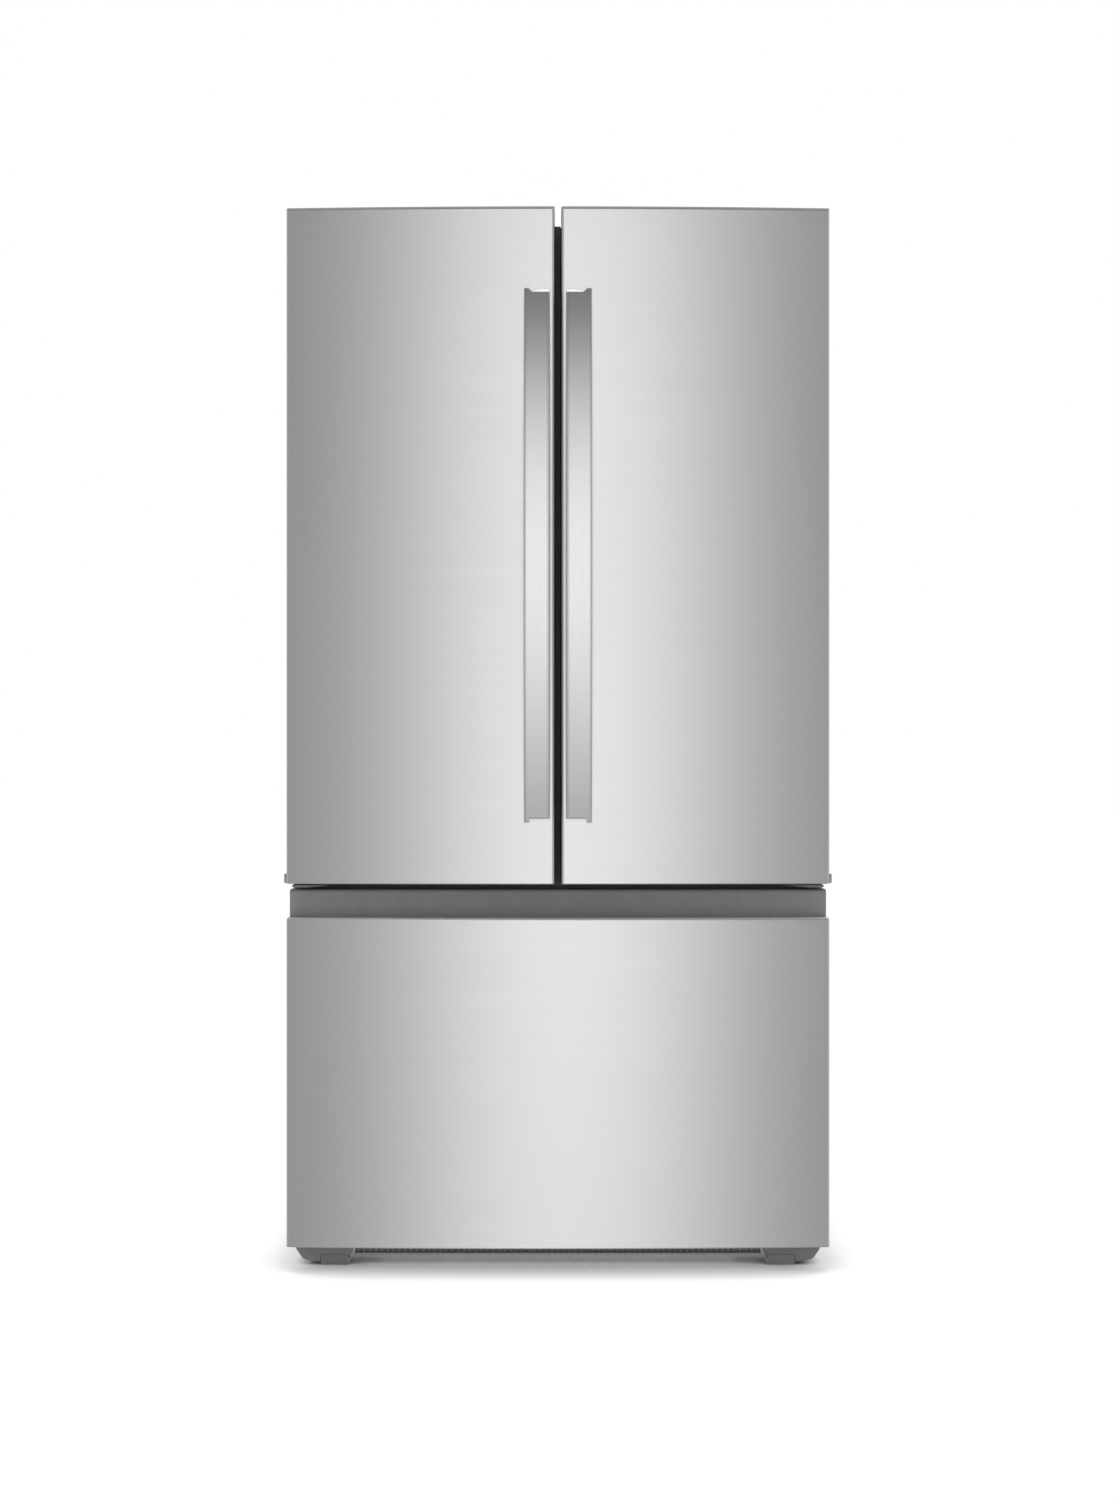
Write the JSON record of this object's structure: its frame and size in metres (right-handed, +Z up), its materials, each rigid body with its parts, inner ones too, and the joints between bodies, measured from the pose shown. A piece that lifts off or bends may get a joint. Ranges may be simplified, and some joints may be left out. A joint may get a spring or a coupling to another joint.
{
  "type": "french door refrigerator",
  "caption": "Tall refrigerator with two side-hinged bowed steel doors, bowed bar handles, a bottom freezer drawer with a pull pocket, and a fitted interior on short feet.",
  "frame": {"origin": "centre of the bounding box footprint at floor level", "axes": "+Z up, -Y is the front that the doors and drawer face, the left door seen from the front is at -X"},
  "size_m": [0.92, 0.905, 1.781],
  "materials": {
    "painted_grey": "satin",
    "foam": "matte",
    "liner_white": "satin",
    "galvanised_steel": "satin",
    "black_metal": "satin",
    "black_plastic": "matte",
    "coil_aluminium": "satin",
    "white_plastic": "satin",
    "lens": "satin",
    "shelf_glass": "polished",
    "clear_plastic": "gloss",
    "grey_plastic": "satin",
    "leg_plastic": "matte",
    "roller_plastic": "matte",
    "stainless": "satin",
    "gasket_rubber": "matte"
  },
  "bodies": {
    "cabinet": {"cabinet_wrapper": "painted_grey", "cabinet_insulation": "foam", "fresh_food_liner": "liner_white", "freezer_liner": "liner_white", "rear_panel": "galvanised_steel", "base_pan": "galvanised_steel", "machine_cover": "galvanised_steel", "compressor": "black_metal", "condenser_coil": "black_metal", "condenser_shroud": "black_plastic", "evaporator_coil": "coil_aluminium", "evaporator_cover": "liner_white", "air_duct_panel": "liner_white", "control_housing": "white_plastic", "light_lens": "lens", "shelf_frames": "white_plastic", "shelf_glass": "shelf_glass", "crisper_housing": "white_plastic", "top_hinges": "galvanised_steel", "hinge_covers": "grey_plastic", "centre_hinges": "galvanised_steel", "freezer_outer_rails": "galvanised_steel", "leg_brackets": "leg_plastic", "toe_grille": "black_plastic", "cord_gland": "black_plastic"},
    "left_door": {"left_door_skin": "stainless", "left_door_core": "foam", "left_door_liner": "liner_white", "left_door_gasket": "gasket_rubber", "left_door_caps": "grey_plastic", "left_handle": "stainless", "left_bins": "clear_plastic"},
    "right_door": {"right_door_skin": "stainless", "right_door_core": "foam", "right_door_liner": "liner_white", "right_door_gasket": "gasket_rubber", "right_door_caps": "grey_plastic", "right_handle": "stainless", "right_bins": "clear_plastic", "dairy_box": "clear_plastic"},
    "freezer_drawer": {"freezer_drawer_skin": "stainless", "freezer_drawer_core": "foam", "freezer_drawer_liner": "liner_white", "freezer_drawer_gasket": "gasket_rubber", "freezer_pull_cap": "grey_plastic", "freezer_drawer_frame": "galvanised_steel", "lower_basket": "white_plastic"},
    "mullion": {"mullion_bar": "grey_plastic"},
    "freezer_slides": {"freezer_middle_rails": "galvanised_steel"},
    "upper_basket": {"upper_basket": "white_plastic"},
    "crisper_left": {"crisper_left": "clear_plastic"},
    "crisper_right": {"crisper_right": "clear_plastic"},
    "pantry_drawer": {"pantry_drawer": "clear_plastic"},
    "dairy_lid": {"dairy_lid": "clear_plastic"},
    "leg_left": {"leg_left": "leg_plastic"},
    "leg_right": {"leg_right": "leg_plastic"},
    "rear_roller_left": {"rear_roller_left": "roller_plastic"},
    "rear_roller_right": {"rear_roller_right": "roller_plastic"},
    "condenser_fan": {"condenser_fan": "black_plastic"},
    "evaporator_fan": {"evaporator_fan": "white_plastic"}
  },
  "joints": [
    {"name": "left_door_hinge", "type": "hinge", "parent": "cabinet", "child": "left_door", "pos_m": [-0.43, -0.335, 1.2], "axis": [0, 0, -1], "range_deg": [0, 120]},
    {"name": "right_door_hinge", "type": "hinge", "parent": "cabinet", "child": "right_door", "pos_m": [0.43, -0.335, 1.2], "axis": [0, 0, 1], "range_deg": [0, 120]},
    {"name": "mullion_fold", "type": "hinge", "parent": "left_door", "child": "mullion", "pos_m": [-0.03, -0.2795, 1.183], "axis": [0, 0, -1], "range_deg": [0, 90]},
    {"name": "freezer_drawer_slide", "type": "slide", "parent": "cabinet", "child": "freezer_drawer", "axis": [0, -1, 0], "range_m": [0, 0.42]},
    {"name": "freezer_rail_extension", "type": "slide", "parent": "cabinet", "child": "freezer_slides", "axis": [0, -1, 0], "range_m": [0, 0.21]},
    {"name": "upper_basket_slide", "type": "slide", "parent": "freezer_drawer", "child": "upper_basket", "axis": [0, 1, 0], "range_m": [0, 0.12]},
    {"name": "crisper_left_slide", "type": "slide", "parent": "cabinet", "child": "crisper_left", "axis": [0, -1, 0], "range_m": [0, 0.115]},
    {"name": "crisper_right_slide", "type": "slide", "parent": "cabinet", "child": "crisper_right", "axis": [0, -1, 0], "range_m": [0, 0.115]},
    {"name": "pantry_drawer_slide", "type": "slide", "parent": "cabinet", "child": "pantry_drawer", "axis": [0, -1, 0], "range_m": [0, 0.1]},
    {"name": "dairy_lid_hinge", "type": "hinge", "parent": "right_door", "child": "dairy_lid", "pos_m": [0.221, -0.214, 1.632], "axis": [1, 0, 0], "range_deg": [0, 80]},
    {"name": "leg_left_adjust", "type": "slide", "parent": "cabinet", "child": "leg_left", "axis": [0, 0, -1], "range_m": [0, 0.015]},
    {"name": "leg_right_adjust", "type": "slide", "parent": "cabinet", "child": "leg_right", "axis": [0, 0, -1], "range_m": [0, 0.015]},
    {"name": "rear_roller_left_spin", "type": "hinge", "parent": "cabinet", "child": "rear_roller_left", "pos_m": [-0.387, 0.405, 0.02], "axis": [1, 0, 0], "continuous": true},
    {"name": "rear_roller_right_spin", "type": "hinge", "parent": "cabinet", "child": "rear_roller_right", "pos_m": [0.387, 0.405, 0.02], "axis": [1, 0, 0], "continuous": true},
    {"name": "condenser_fan_spin", "type": "hinge", "parent": "cabinet", "child": "condenser_fan", "pos_m": [-0.064, 0.335, 0.15], "axis": [1, 0, 0], "continuous": true},
    {"name": "evaporator_fan_spin", "type": "hinge", "parent": "cabinet", "child": "evaporator_fan", "pos_m": [0, 0.3325, 0.553], "axis": [0, 1, 0], "continuous": true}
  ],
  "couplings": [
    {"joint": "freezer_rail_extension", "follows": "freezer_drawer_slide", "ratio": 0.5}
  ]
}
